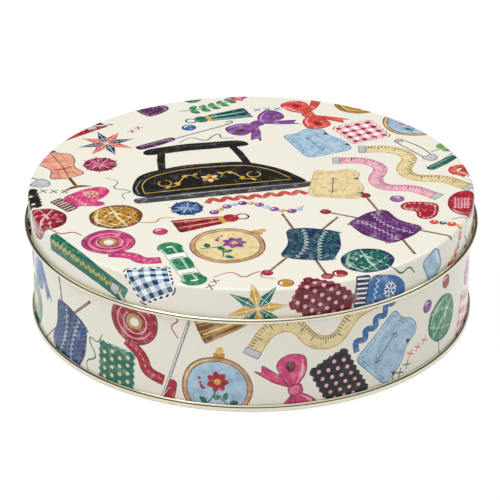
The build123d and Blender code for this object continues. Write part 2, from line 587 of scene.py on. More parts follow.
def bow(ink, dark, pale):
    d = Drawing()
    for side in (-1, 1):
        tail = [(side * 1.5, -1), (side * 6, -7), (side * 13, -13.5), (side * 11.2, -10.4),
                (side * 14.8, -9.4), (side * 8, -4), (side * 3, 0)]
        d.edged(shape(tail, 0.8), ink, dark, 0.4)
        loop = [(0, 0), (side * 6, 6.5), (side * 14, 8), (side * 16.5, 1.5), (side * 13.5, -4.5),
                (side * 6, -3.5)]
        d.edged(shape(loop, 3.2), ink, dark, 0.4)
        inner = [(side * 6.5, 0.6), (side * 11, 3.6), (side * 14, 1.6), (side * 11.5, -1.6)]
        d.fill(shape(inner, 3), dark)
        d.line(curve([(side * 2.5, 1.6), (side * 7, 5.2), (side * 12.5, 6.2)]), 0.8, pale)
        d.line([(side * 2.5, -0.4), (side * 6, -1.2)], 0.7, dark)
    d.edged(block(0, 0.6, 4.6, 5.4, 0, 1.6), ink, dark, 0.4)
    d.line([(-0.9, 2.4), (-1.1, -0.6)], 0.7, pale)
    return d


def tassel(ink, dark, pale):
    d = Drawing()
    d.line(arc(0, 14.5, 4.6, -60, 240), 0.8, dark, 1)
    d.fill(disc(0, 9.6, 7, 6.4), ink)
    d.fill(shape([(-3.4, 6), (-5.6, -13), (5.6, -13), (3.4, 6)], 1.2), dark)
    for k in range(9):
        x = -4 + k
        d.line([(x * 0.72, 5.6), (x * 1.05, -4), (x * 1.36, -13.4 + 0.7 * (k % 3))], 1.0,
               (ink, pale, ink, dark)[k % 4], 0.6)
    d.fill(block(0, 6.2, 6.4, 1.9, 0, 0.6), "gold")
    d.line([(-1.6, 11.2), (-0.4, 12)], 0.9, pale)
    return d


def pompom(ink, dark, pale):
    d = Drawing()
    d.fill(disc(0, 0, 12.5, 12.5, 0, 0.02, 9), dark)
    for ring, inks in ((6.6, (ink, dark, ink)), (4.7, (ink, pale)), (2.6, (pale, ink))):
        count = round(ring * 3.6)
        for k in range(count):
            angle = 360 * k / count + ring * 9
            reach = ring + 0.7 * math.sin(k * 2.3)
            d.line([polar(angle, max(0.3, ring - 3)), polar(angle + 4, reach)], 1.05,
                   inks[k % len(inks)], 0.5)
    return d


def felt_heart(ink, thread, across=17):
    d = Drawing()
    size = across / 17
    half = [(0, -8.2), (5.5, -3.4), (9, 1.6), (7.8, 6.4), (3.6, 7.6), (0, 4)]
    outline = [Vector(p) * size for p in half] + [Vector((-x, y)) * size
                                                  for x, y in half[-2:0:-1]]
    d.fill(shape(outline, 3.2 * size), ink)
    inner = grown(shape(outline, 3.2 * size), -1.5 * size)
    d.dashes(inner + inner[:1], 1.2 * size, 0.45, thread)
    return d


def zip_strip(tape, dark):
    d = Drawing()
    d.fill(block(0, 0, 47, 8.4, 0, 0.6), dark)
    d.fill(block(0, 2.5, 46.4, 3.1, 0, 0.4), tape)
    d.fill(block(0, -2.5, 46.4, 3.1, 0, 0.4), tape)
    for k in range(30):
        d.fill(block(-21.8 + 1.45 * k, 0.45 if k % 2 else -0.45, 0.95, 1.7, 0, 0.25), "gold")
    d.edged(shape([(15, -1.9), (15, 1.9), (19, 2.5), (20, 0), (19, -2.5)], 0.8), "silver",
            "soot", 0.45)
    d.line([(19, 0), (22, -1.6), (26.5, -4)], 1.9, "grey", 0.8)
    d.line([(19.5, 0), (22, -1.4), (25.4, -3.2)], 0.7, "white", 0.6)
    return d


def star(first, second):
    d = Drawing()
    for k in range(8):
        angle = 45 * k
        tip = [polar(angle - 22.5, 5.6), polar(angle, 12.8), polar(angle + 22.5, 5.6),
               Vector((0, 0))]
        d.fill(grown(tip, -0.12), first if k % 2 else second)
        d.line([polar(angle, 1.2), polar(angle, 11)], 0.3, "white", 0.8)
    d.dashes(arc(0, 0, 9.4, 0, 360), 1.1, 0.35, "white")
    d.fill(disc(0, 0, 2.2), "straw")
    return d


def dress_form(ink, dark):
    d = Drawing()
    d.line([(0, -12), (0, -22)], 1.6, "brown", 1)
    d.fill(shape([(-7.5, -25.4), (-2.4, -22.2), (2.4, -22.2), (7.5, -25.4), (0, -24)], 1.2),
           "brown")
    body = [(-2.3, 14), (-3.2, 11.6), (-8.6, 9.4), (-8, 2.4), (-4.9, -3.4), (-8.4, -12.4),
            (0, -14.2), (8.4, -12.4), (4.9, -3.4), (8, 2.4), (8.6, 9.4), (3.2, 11.6), (2.3, 14)]
    d.edged(shape(body, 3), ink, dark, 0.5)
    d.edged(disc(0, 14.4, 5, 2.2), "brown", "maroon", 0.4)
    d.edged(disc(0, 16.4, 2.4, 2.8), "brown", "maroon", 0.4)
    d.line(curve([(0, 12.6), (0.8, 3), (0, -13)]), 0.5, dark, 0.8)
    for side in (-1, 1):
        seam = [(side * 4.4, 10.8), (side * 4, 3), (side * 2.6, -3.4), (side * 4.2, -12.6)]
        d.dashes(curve(seam), 1.2, 0.4, dark)
    d.line(curve([(-4.6, -3.4), (0, -4.4), (4.6, -3.4)]), 0.9, "crimson", 0.9)
    return d


def mitten(ink, dark, pale):
    d = Drawing()
    d.fill(shape([(-6, -8), (-6.6, 6), (-3, 13), (3.4, 12.6), (6, 5), (6, 1.4), (8.6, 3.6),
                  (11.4, 2.6), (11, -1), (6.2, -5.4), (5.8, -8)], 4), ink)
    d.fill(block(0, -10.6, 13, 6, 0, 1.2), dark)
    for k in range(6):
        d.line([(-5 + 2 * k, -8.2), (-5.1 + 2 * k, -13)], 0.8, pale, 0.8)
    for k in range(5):
        d.line([(-4.8 + 2.3 * k, -4.6), (-3.7 + 2.3 * k, -3), (-2.6 + 2.3 * k, -4.6)], 0.6, pale)
    flake = Vector((-0.4, 4))
    for k in range(6):
        d.line([polar(60 * k, 0.5) + flake, polar(60 * k, 3.6) + flake], 0.6, pale, 0.9)
        for side in (-26, 26):
            d.line([polar(60 * k, 2.1) + flake, polar(60 * k + side, 3.3) + flake], 0.45,
                   pale, 0.9)
    return d


def sprig(leaf_ink, petal, core):
    d = Drawing()
    stem = evenly(curve([(-14, -8), (-3, -5), (6, 1), (11, 7.5)]), 1.6)
    d.line(stem, 0.8, leaf_ink, 0.7)
    for k in range(3, len(stem) - 3, 3):
        way = stem[k + 1] - stem[k]
        turn = math.degrees(math.atan2(way.y, way.x))
        for side in (-50, 48):
            d.fill(leaf(*stem[k], 7.4 - 0.2 * k, 3.6, turn + side), leaf_ink)
            d.line([stem[k], stem[k] + polar(turn + side, 5.4 - 0.2 * k)], 0.3, "mint")
    for k in range(6):
        d.fill(leaf(11, 7.5, 5.2, 3.7, 60 * k), petal)
    d.fill(disc(11, 7.5, 2.8), core)
    return d


def crochet_hook(ink, dark):
    d = Drawing()
    d.line([(-22, 0), (22, 0)], 1.5, "grey", 0.85)
    d.line([(-21, 0.3), (20, 0.3)], 0.5, "white", 0.7)
    d.line(curve([(21, 0), (24.2, 0.5), (24.4, 2.4), (21.4, 2)]), 1.0, "grey", 0.6)
    d.edged(shape([(-22, -1.7), (-22, 1.7), (-14, 2), (-5, 1.5), (-4.4, 0), (-5, -1.5),
                   (-14, -2)], 1.6), ink, dark, 0.4)
    d.line([(-20, 0.8), (-8, 0.8)], 0.5, "white")
    return d


def chalk(ink, dark):
    d = Drawing()
    d.edged(shape([(-7, -5), (7, -5.6), (5.4, 5), (-4.6, 5.6)], 3), ink, dark, 0.5)
    d.line(curve([(-4.6, 3.4), (0, 3.9), (3.8, 3)]), 0.8, "white")
    for k in range(3):
        d.line([(9 + 2.4 * k, -7), (12.4 + 2.4 * k, -5.4)], 0.6, ink)
    return d


def ribbon_roll(ink, dark, pale):
    d = Drawing()
    tail = curve([(3, -9.6), (12, -8), (17, -12.4), (24, -9.4)])
    d.fill(stroke(tail, 5.4, 0.9), dark)
    d.fill(stroke(tail, 4.7, 0.9), ink)
    d.dashes(tail, 1.3, 0.4, pale)
    d.edged(disc(0, 0, 20), ink, dark, 0.5)
    for k, across in enumerate((17.4, 14.8, 12.2, 9.8)):
        d.line(arc(0.15 * k, 0, across, 20 + 50 * k, 330 + 50 * k), 0.5, (dark, pale)[k % 2], 0.6)
    d.edged(disc(0, 0, 7.4), "tan", "brown", 0.5)
    d.fill(disc(0.2, -0.1, 3.9), "cream")
    return d


def rickrack(ink, dark, waves=7):
    d = Drawing()
    points = [(-waves * 3.1 + 3.1 * k, 2.3 if k % 2 else -2.3) for k in range(2 * waves + 1)]
    line = curve(points, 2.4)
    d.fill(stroke(line, 2.7, 1), dark)
    d.fill(stroke(line, 2.0, 1), ink)
    return d


def bead_string(first, second, third):
    d = Drawing()
    line = evenly(curve([(-16, -5), (-8, 3), (1, 4.6), (8, -1.6), (16, -4.6), (20, 1)]), 1.75)
    d.line(line, 0.4, "soot", 0.9)
    for k in range(1, len(line) - 1, 2):
        ink = (first, second, first, third)[k // 2 % 4]
        d.fill(disc(*line[k], 3.9 if k % 4 == 1 else 3.1), ink)
        d.fill(disc(line[k].x - 0.6, line[k].y + 0.6, 0.9), "white")
    return d


def skein(ink, dark, pale):
    d = Drawing()
    for side in (-1, 1):
        d.line(arc(side * 13.5, 0, 7, 90 * (1 - side) - 100, 90 * (1 - side) + 100), 3.4, dark, 1)
        d.line(arc(side * 13.5, 0, 7, 90 * (1 - side) - 96, 90 * (1 - side) + 96), 2.2, ink, 1)
    for k in range(9):
        wide, waist = (-4 + k) * 1.05, (-4 + k) * 0.75
        strand = [(-14, wide), (-6, waist), (0, wide), (6, waist), (14, wide)]
        d.line(curve(strand), 1.25, (ink, dark, ink, pale, dark)[k % 5], 0.9)
    for x in (-6.6, 6.6):
        d.edged(block(x, 0, 4.2, 8, 0, 0.5), "white", "grey", 0.3)
        d.line([(x - 1.2, 2.6), (x - 1.2, -2.6)], 0.5, dark, 1)
    return d


def pattern_piece(ink, dark):
    d = Drawing()
    outline = shape([(-12, -13), (10, -14), (11, -2), (7.4, 4), (8.6, 13), (1.5, 15.2),
                     (-4, 11.5), (-11, 13.6)], 4)
    d.edged(outline, ink, dark, 0.35)
    inner = grown(outline, -1.9)
    d.dashes(inner + inner[:1], 1.5, 0.35, dark)
    d.line([(-2, -9), (-2.6, 6)], 0.45, "soot", 0.9)
    for end, way in ((-9, 1), (6, -1)):
        d.line([(-3.6, end + 2.2 * way), (-2.3, end), (-0.8, end + 2.1 * way)], 0.45, "soot", 0.9)
    for x, y in ((11, -8), (7.6, 6)):
        d.fill([Vector((x - 2.4, y)), Vector((x, y - 1.3)), Vector((x, y + 1.3))], "soot")
    d.dashes([(2.2, -10), (3.4, 0), (2.4, 9)], 1.0, 0.35, "coral")
    return d


def darning_mushroom(ink, dark, pale):
    d = Drawing()
    d.edged(shape([(-2.1, 1), (-2.7, -8), (-3.4, -15), (0, -17), (3.4, -15), (2.7, -8), (2.1, 1)],
                  2.4), "tan", "brown", 0.5)
    d.line([(-1, -2), (-1.5, -13)], 0.7, "straw")
    d.edged(shape([(-12, 0.6), (-11, 6.6), (-4, 11), (4, 11), (11, 6.6), (12, 0.6), (6, -1.6),
                   (-6, -1.6)], 4), ink, dark, 0.5)
    for k in range(5):
        d.line([(-3.6 + 1.8 * k, 8.8), (-3.9 + 1.9 * k, 1.8)], 0.5, pale, 0.9)
        d.line([(-4.8, 2.6 + 1.35 * k), (4.9, 2.5 + 1.35 * k)], 0.5, pale, 0.9)
    d.line(curve([(-10, 4.4), (-8.4, 7.2), (-5.4, 9.2)]), 0.8, pale)
    return d


def cross_stitches(ink, count=3):
    d = Drawing()
    for k in range(count):
        x = (k - (count - 1) / 2) * 4.2
        d.line([(x - 1.4, -1.4), (x + 1.4, 1.4)], 0.75, ink, 0.7)
        d.line([(x - 1.4, 1.4), (x + 1.4, -1.4)], 0.75, ink, 0.7)
    return d


def loose_thread(ink):
    d = Drawing()
    d.line(curve([(-11, -2), (-5, 3.4), (0, -3), (4, 2.6), (7, 3.2), (6, -1.4), (12, -2)]), 0.65,
           ink, 0.6)
    return d


def bead(ink, dark):
    d = Drawing()
    d.edged(disc(0, 0, 5.4), ink, dark, 0.45)
    d.line(arc(0, 0, 3.4, 100, 190), 0.7, "white")
    return d


# ---- layout: the motifs start small in random places, grow, and push one another apart ----
LID_CHANCE = 7                  # seeds of the random sizes, places and turns
WALL_CHANCE = 8
MOTIF_SCALE = 1.1
SIZE_RANGE = (0.94, 1.06)       # least and most of that scale that a motif gets
MOTIF_GAP = 1.6                 # between one motif and the next
IRON_SCALE = 1.2                # the large motif on the lid, which stays where it is put
IRON_SPOT = (-19, 13)
IRON_TURN = math.radians(13)
LID_SPREAD = 0.95               # share of the lid's print that the first places fill
LID_TURN = 1.4                  # most that a motif is turned at first, in radians
LID_OVERHANG = 0.35             # share of a motif's reach that is kept inside the print
WALL_SCATTER = 20               # how far up or down from the wall's middle a motif starts
WALL_TURN = 1.5                 # and the same two for the wall
WALL_OVERHANG = 0.4
STAMP_REACH = 1.5               # a motif this many of its own sizes past the seam is left out
PRINT_TOP = 49.5                # where the print stops, under the lid
SEAM_BARE = 1.2                 # plain strip on each side of the lock seam
RIM_BARE = 0.05                 # plain strip at the lid's roll and at the wall's foot
JOSTLE_STEPS = 420
FIRST_SIZE = 0.4                # share of its size that a motif starts with
GROWTH = 0.9                    # how much of its size it gains over all the steps
PUSH = 0.2                      # share of an overlap that one step pushes away
EDGE_STOPS = 24                 # places looked at on each edge of an outline
DISCS_A_WIDTH = 3.2             # covering discs along a motif as long as it is wide
DISC_INSET = 0.95               # share of its radius that a disc stays inside the motif's ends
CUT_MARGIN = 0.5                # how far a covering disc looks past its own part
HAND_SWAY = 0.16                # how far a hand's line strays
SWAY_WAVES = (0.33, 0.21, 0.3, 0.23)    # how fast it strays, in radians for each millimetre


def keep_on_lid(flat):
    """Stops a motif just short of the lid's rolled edge."""
    limit = LID_PRINT - RIM_BARE
    return flat if flat.length <= limit else flat * limit / flat.length


def keep_on_wall(flat):
    """Stops a motif at the seam and below the plain neck."""
    return Vector((min(max(flat.x, SEAM_BARE), WALL_GIRTH - SEAM_BARE),
                   min(max(flat.y, PRINT_FOOT + RIM_BARE), PRINT_TOP)))


def cover_discs(drawing, scale):
    """Discs in a row along a motif's longer way that cover it: their places and sizes."""
    shares = np.linspace(0, 1, EDGE_STOPS)[:, None, None]
    outlines = [np.array([tuple(point) for point in outline]) for outline, _ in drawing.shapes]
    points = np.concatenate([
        (ends + (np.roll(ends, -1, axis=0) - ends) * shares).reshape(-1, 2) * scale
        for ends in outlines])
    low, high = points.min(axis=0), points.max(axis=0)
    size = high - low
    along = int(size[1] > size[0])
    count = round(DISCS_A_WIDTH * size.max() / size.min())
    cuts = np.linspace(low[along], high[along], count + 1)
    discs = []
    for start, end in zip(cuts, cuts[1:]):
        part = points[(points[:, along] >= start - CUT_MARGIN)
                      & (points[:, along] <= end + CUT_MARGIN)]
        across = part[:, 1 - along] if len(part) else points[:, 1 - along]
        radius = max(across.max() - across.min(), end - start) / 2
        inset = min(radius * DISC_INSET, size[along] / 2)
        place = min(max((start + end) / 2, low[along] + inset), high[along] - inset)
        middle = (across.max() + across.min()) / 2
        discs.append((place, middle, radius) if along == 0 else (middle, place, radius))
    return discs


def jostle(drawings, scales, spots, turns, pinned, hold, wrap=None):
    """Pushes the motifs apart, and lets them turn a little, within what hold allows."""
    discs = [cover_discs(drawing, scale) for drawing, scale in zip(drawings, scales)]
    owner = np.repeat(range(len(discs)), [len(each) for each in discs])
    flat = np.array([disc for each in discs for disc in each])
    offset, radius = flat[:, :2], flat[:, 2]
    reach = np.array([max(disc[2] + math.hypot(*disc[:2]) for disc in each) for each in discs])
    apart = owner[:, None] != owner[None, :]
    for step in range(JOSTLE_STEPS):
        swell = min(1, FIRST_SIZE + GROWTH * step / JOSTLE_STEPS)
        sine, cosine = np.sin(turns[owner]), np.cos(turns[owner])
        arm = swell * np.column_stack([offset[:, 0] * cosine - offset[:, 1] * sine,
                                       offset[:, 0] * sine + offset[:, 1] * cosine])
        centre = spots[owner] + arm
        gap = centre[:, None, :] - centre[None, :, :]
        if wrap:
            gap[:, :, 0] -= wrap * np.round(gap[:, :, 0] / wrap)
        distance = np.maximum(np.linalg.norm(gap, axis=2), SAME_PLACE)
        room = swell * (radius[:, None] + radius[None, :]) + MOTIF_GAP
        lap = np.maximum(room - distance, 0) * apart
        push = (gap / distance[:, :, None] * lap[:, :, None]).sum(axis=1) * PUSH
        twist = arm[:, 0] * push[:, 1] - arm[:, 1] * push[:, 0]
        for index in range(len(discs)):
            if index not in pinned:
                mine = owner == index
                spots[index] += push[mine].sum(axis=0) / max(1, mine.sum()) ** 0.5
                turns[index] += twist[mine].sum() / reach[index] ** 2
                spots[index] = hold(spots[index], reach[index])
    return spots, turns


def stamp(sheet, drawing, spot, turn, scale, chance):
    """Draws a motif in its place, bent a little as by a hand."""
    waves = [(pace, chance.uniform(0, 2 * math.pi)) for pace in SWAY_WAVES]
    for outline, ink in drawing.shapes:
        placed = []
        for point in outline:
            first, second, third, fourth = [
                math.sin(along * pace + phase)
                for along, (pace, phase) in zip((point.y, point.x, point.x, point.y), waves)]
            sway = Vector((first + second, third + fourth))
            bent = (point + sway * HAND_SWAY) * scale
            placed.append(turned(bent, math.degrees(turn)) + Vector(spot))
        sheet.shape(placed, ink)


# families of inks: the main one, a dark one and a pale one
RED = ("crimson", "maroon", "rose")
PINK = ("pink", "maroon", "rose")
CORAL = ("coral", "crimson", "salmon")
OCHRE = ("ochre", "brown", "straw")
GREEN = ("green", "teal", "mint")
TEAL = ("teal", "navy", "mint")
BLUE = ("blue", "navy", "sky")
VIOLET = ("violet", "plum", "lilac")


def lid_motifs():
    return [
        knitting(*VIOLET), hoop("sky", "coral", "green"), tape_measure("straw", "ochre"),
        yarn_ball(*RED), zip_strip("teal", "green"), mitten("blue", "navy", "white"),
        dress_form("salmon", "brown"), ribbon_roll("pink", "plum", "rose"),
        gingham("crimson", "rose"), skein(*GREEN), darning_mushroom(*RED),
        pattern_piece("sky", "blue"), bow("coral", "crimson", "rose"),
        crochet_hook("plum", "black"), tassel(*TEAL), star("navy", "coral"), yarn_ball(*OCHRE),
        safety_pin(1.1), sprig("green", "pink", "gold"),
        dotted_cloth("maroon", "rose", "crimson"), pompom(*PINK), rickrack("coral", "maroon"),
        bead_string("coral", "teal", "gold"), felt_heart("crimson", "white"),
        chalk("sky", "blue"), pattern_piece("straw", "tan"), yarn_ball(*TEAL),
        hoop("straw", "violet", "teal"), gingham("navy", "sky", 17), skein(*CORAL),
        sprig("leaf", "coral", "maroon"), ribbon_roll(*OCHRE),
        tassel("crimson", "maroon", "salmon"), mitten("pink", "plum", "straw"),
        tape_measure("rose", "pink"), bow(*VIOLET), crochet_hook("teal", "navy"),
        star("teal", "gold"), dotted_cloth("black", "straw", "soot"), safety_pin(0.9),
        pompom(*BLUE), zip_strip("crimson", "maroon"), felt_heart("plum", "rose", 14),
        bead_string("violet", "gold", "sky"), darning_mushroom(*GREEN), knitting(*TEAL),
        *[bead(ink, dark) for ink, dark in (
            ("crimson", "maroon"), ("blue", "navy"), ("ochre", "brown"), ("teal", "navy"),
            ("violet", "plum"), ("coral", "crimson"), ("pink", "maroon"))],
        *[loose_thread(ink) for ink in ("pink", "navy", "crimson", "green", "soot")],
        *[cross_stitches(ink, count) for ink, count in (
            ("blue", 3), ("crimson", 2), ("teal", 3), ("plum", 2))],
    ]


def wall_motifs():
    return [
        hoop("sky", "crimson", "teal"), gingham("crimson", "rose"),
        tape_measure("straw", "ochre"), yarn_ball(*VIOLET), dress_form("rose", "maroon"),
        skein(*BLUE), darning_mushroom(*CORAL), dotted_cloth("teal", "straw", "mint"),
        knitting(*RED), safety_pin(1.1), ribbon_roll(*GREEN), mitten("plum", "maroon", "lilac"),
        bow(*PINK), star("crimson", "navy"), pattern_piece("sky", "blue"), tassel(*OCHRE),
        zip_strip("plum", "maroon"), sprig("green", "coral", "gold"), yarn_ball(*GREEN),
        crochet_hook("crimson", "maroon"), pompom(*VIOLET), dotted_cloth("black", "rose", "soot"),
        hoop("straw", "pink", "leaf"), felt_heart("coral", "white"), rickrack("blue", "navy"),
        skein(*PINK), pattern_piece("straw", "tan"), yarn_ball(*CORAL),
        gingham("teal", "mint", 17), tape_measure("sky", "blue"), chalk("rose", "pink"),
        knitting(*BLUE), bead_string("crimson", "gold", "teal"), ribbon_roll(*RED),
        sprig("teal", "violet", "straw"), safety_pin(0.9), bow(*BLUE),
        darning_mushroom("navy", "black", "sky"), tassel(*VIOLET),
        *[bead(ink, dark) for ink, dark in (
            ("crimson", "maroon"), ("teal", "navy"), ("ochre", "brown"), ("blue", "navy"),
            ("pink", "maroon"), ("violet", "plum"))],
        *[loose_thread(ink) for ink in ("crimson", "navy", "green", "violet")],
        *[cross_stitches(ink, 3) for ink in ("blue", "coral", "teal")],
    ]


def lay_out_lid():
    chance = random.Random(LID_CHANCE)
    drawings = [flat_iron()] + lid_motifs()
    count = len(drawings)
    scales = [IRON_SCALE] + [MOTIF_SCALE * chance.uniform(*SIZE_RANGE) for _ in drawings[1:]]
    order = list(range(1, count))
    chance.shuffle(order)
    spots = np.array([IRON_SPOT] * count, dtype=float)
    golden = math.degrees(math.pi * (3 - 5 ** 0.5))
    for place, index in enumerate(order):
        reach = LID_PRINT * LID_SPREAD * ((place + 0.5) / count) ** 0.5
        spots[index] = polar(golden * place, reach)
    turns = np.array([IRON_TURN] + [chance.uniform(-LID_TURN, LID_TURN) for _ in order])

    def hold(spot, reach):
        limit = LID_PRINT - LID_OVERHANG * reach
        return spot * min(1, limit / max(np.hypot(*spot), SAME_PLACE))

    spots, turns = jostle(drawings, scales, spots, turns, {0}, hold)
    for drawing, spot, turn, scale in zip(drawings, spots, turns, scales):
        stamp(lid_print, drawing, spot, turn, scale, chance)


def lay_out_wall():
    chance = random.Random(WALL_CHANCE)
    drawings = wall_motifs()
    count = len(drawings)
    scales = [MOTIF_SCALE * chance.uniform(*SIZE_RANGE) for _ in drawings]
    order = list(range(count))
    chance.shuffle(order)
    middle = (PRINT_FOOT + PRINT_TOP) / 2
    spots = np.array([(WALL_GIRTH * (order[index] + 0.5) / count,
                       middle + chance.uniform(-WALL_SCATTER, WALL_SCATTER))
                      for index in range(count)])
    turns = np.array([chance.uniform(-WALL_TURN, WALL_TURN) for _ in order])

    def hold(spot, reach):
        slack = max(0, (PRINT_TOP - PRINT_FOOT) / 2 - WALL_OVERHANG * reach)
        return np.array((spot[0] % WALL_GIRTH, min(max(spot[1], middle - slack), middle + slack)))

    spots, turns = jostle(drawings, scales, spots, turns, set(), hold, WALL_GIRTH)
    for drawing, spot, turn, scale in zip(drawings, spots, turns, scales):
        reach = max(drawing.half_size()) * STAMP_REACH * scale
        for lap in (-WALL_GIRTH, 0, WALL_GIRTH):
            if -reach < spot[0] + lap < WALL_GIRTH + reach:
                stamp(wall_print, drawing, (spot[0] + lap, spot[1]), turn, scale, chance)


lid_print = Print(keep_on_lid)
wall_print = Print(keep_on_wall)
lay_out_lid()
lay_out_wall()


# ---- finishes ----
VARNISH_ROUGHNESS = (0.16, 0.24)
LACQUER_ROUGHNESS = (0.07, 0.13)
NOISE_RANGE = (0.3, 0.7)        # the values that noise mostly lies between


def fill_sockets(tree, node, inputs):
    """Fills a node's sockets, each with a plain value or with another node's output."""
    for socket, value in inputs.items():
        if isinstance(value, bpy.types.NodeSocket):
            tree.links.new(value, node.inputs[socket])
        else:
            node.inputs[socket].default_value = value


def add_node(tree, kind, inputs, **settings):
    """A new shader node, set up and with its sockets filled."""
    node = tree.nodes.new("ShaderNode" + kind)
    for name, value in settings.items():
        setattr(node, name, value)
    fill_sockets(tree, node, inputs)
    return node


def effect_group(name, inputs, outputs):
    """An empty node group with named number and colour sockets."""
    group = bpy.data.node_groups.new(name, "ShaderNodeTree")
    kinds = {"value": "NodeSocketFloat", "colour": "NodeSocketColor"}
    for direction, sockets in (("INPUT", inputs), ("OUTPUT", outputs)):
        for socket, kind in sockets.items():
            group.interface.new_socket(name=socket, in_out=direction, socket_type=kinds[kind])
    return group, group.nodes.new("NodeGroupInput"), group.nodes.new("NodeGroupOutput")


def new_material(name):
    material = bpy.data.materials.new(name)
    material.use_nodes = True
    return material, material.node_tree, material.node_tree.nodes["Principled BSDF"]


def noise(tree, size, detail=3.0, roughness=0.5, stretch=(1, 1, 1)):
    """Noise in object space, whose features are about this many millimetres across."""
    spot = add_node(tree, "TexCoord", {}).outputs["Object"]
    scaled = add_node(tree, "Mapping", {"Vector": spot, "Scale": stretch}).outputs["Vector"]
    return add_node(tree, "TexNoise", {
        "Vector": scaled, "Scale": 1 / (size * MM), "Detail": detail, "Roughness": roughness,
    }).outputs["Fac"]


def ranged(tree, value, low, high, to_low, to_high):
    """Spreads a value's range over another one."""
    return add_node(tree, "MapRange", {
        "Value": value, "From Min": low, "From Max": high, "To Min": to_low, "To Max": to_high,
    }).outputs["Result"]


def reckon(tree, operation, first, second):
    """One operation on two values, each an output or a plain number."""
    return add_node(tree, "Math", {0: first, 1: second}, operation=operation).outputs["Value"]


def make_paint_group():
    """Hand-laid paint: pools and pale washes where the ink is watery, and brush streaks."""
    group, given, made = effect_group(
        "painted_ink", {"Ink": "colour", "Water": "value"}, {"Colour": "colour"})
    pools = ranged(group, noise(group, 4.5, 4, 0.6), 0.35, 0.7, -0.5, 0.55)
    streaks = ranged(group, noise(group, 1.1, 2, 0.6, (1, 0.3, 1)), *NOISE_RANGE, -0.25, 0.22)
    strength = reckon(group, "MULTIPLY", reckon(group, "ADD", pools, streaks),
                      given.outputs["Water"])
    wash = add_node(group, "Mix", {
        "Factor": reckon(group, "MAXIMUM", strength, 0.0),
        "A": given.outputs["Ink"],
        "B": INK["cream"],
    }, data_type="RGBA")
    shade = add_node(group, "HueSaturation", {
        "Color": wash.outputs["Result"],
        "Value": reckon(group, "ADD", reckon(group, "MINIMUM", strength, 0.0), 1.0),
    })
    group.links.new(shade.outputs["Color"], made.inputs["Colour"])
    return group


def dents(tree, depth, size):
    """The normals of thin pressed sheet, which is slowly uneven."""
    return add_node(tree, "Bump", {
        "Strength": 1.0, "Distance": depth * MM, "Height": noise(tree, size, 1),
    }).outputs["Normal"]


def make_enamel():
    """Ink printed on a cream ground under clear varnish."""
    material, tree, principled = new_material("printed_enamel")
    ink = add_node(tree, "Attribute", {}, attribute_name="ink")
    paint = add_node(tree, "Group", {
        "Ink": ink.outputs["Color"],
        "Water": ink.outputs["Alpha"],
    }, node_tree=make_paint_group())
    fill_sockets(tree, principled, {
        "Base Color": paint.outputs["Colour"],
        "Roughness": ranged(tree, noise(tree, 9, 3), *NOISE_RANGE, *VARNISH_ROUGHNESS),
        "Specular IOR Level": 0.4,
        "Normal": dents(tree, 0.02, 22),
    })
    return material


def make_lacquer():
    """Gold lacquer over bright tinplate."""
    material, tree, principled = new_material("gold_lacquer")
    tint = add_node(tree, "Mix", {
        "Factor": noise(tree, 3, 3, 0.5, (1, 1, 3)),
        "A": (*colour("d6d0b4"), 1),
        "B": (*colour("e6e0ca"), 1),
    }, data_type="RGBA")
    fill_sockets(tree, principled, {
        "Base Color": tint.outputs["Result"],
        "Metallic": 1.0,
        "Roughness": ranged(tree, noise(tree, 1.5, 3), *NOISE_RANGE, *LACQUER_ROUGHNESS),
        "Normal": dents(tree, 0.012, 14),
    })
    return material


# ---- the sheet-metal pieces ----
NEAR_AXIS = 0.001               # stands in for the distance of a point on the tin's axis
TINY = 1e-9
LID_MAP_RADIUS = 0.46           # where the prints and shells lie on maps that are 1 across
WALL_MAP_ROWS = 3
WALL_MAP_LENGTH = 0.98
WALL_MAP_START = (0.01, 0.16)
WALL_MAP_PITCH = 0.28
SHELL_MAP_SPOT = (0.07, 0.07)
SHELL_MAP_RADIUS = 0.068
WALL_MAP_HOLE = 20


def lid_place(flat):
    """Where a point of the lid's flat print lies on the drawn lid."""
    reach = flat.length
    way = Vector((flat.x, flat.y, 0)) / max(reach, NEAR_AXIS)
    if reach <= LID_FLAT:
        return way * reach + Vector((0, 0, TIN_HEIGHT))
    turn = min((reach - LID_FLAT) / LID_EDGE, math.pi / 2)
    drop = max(0, reach - LID_FLAT - EDGE_ARC) + LID_EDGE * (1 - math.cos(turn))
    return way * (LID_FLAT + LID_EDGE * math.sin(turn)) + Vector((0, 0, TIN_HEIGHT - drop))


def wall_place(flat):
    """Where a point of the wall's flat print lies on the rolled wall. Its x runs round the tin
    from the seam at the back, and its y runs up the wall and over the mouth's roll."""
    turn = max(0, flat.y - MOUTH_CENTRE) / MOUTH_ROLL
    low, high = LOCK_SEAM_HEIGHTS
    in_groove = abs(flat.x - GROOVE_MIDDLE) < SAME_PLACE and low < flat.y < high
    inset = MOUTH_ROLL * (1 - math.cos(turn)) + (LOCK_SEAM_GROOVE if in_groove else 0)
    height = min(flat.y, MOUTH_CENTRE) + MOUTH_ROLL * math.sin(turn)
    around = math.pi / 2 + flat.x / WALL
    return Vector(((WALL - inset) * math.cos(around), (WALL - inset) * math.sin(around), height))


def lid_map(corners):
    """The lid's print lies as a disc in the middle of its map."""
    return 0.5 + corners * LID_MAP_RADIUS / LID_PRINT


def wall_map(corners):
    """The wall's print lies in rows on its map."""
    length = WALL_GIRTH / WALL_MAP_ROWS
    row = np.floor(corners.mean(axis=1)[:, :1] / length) * (1, 0)
    along = (corners - (row * length)[:, None, :] - (0, PRINT_FOOT)) * WALL_MAP_LENGTH / length
    return along + WALL_MAP_START + row[:, None, ::-1] * WALL_MAP_PITCH


def read_out(items, attribute, width=1, kind=float):
    """One attribute of all of a mesh's vertices, corners or faces."""
    values = np.empty(len(items) * width, dtype=kind)
    items.foreach_get(attribute, values)
    return values.reshape(-1, width) if width > 1 else values


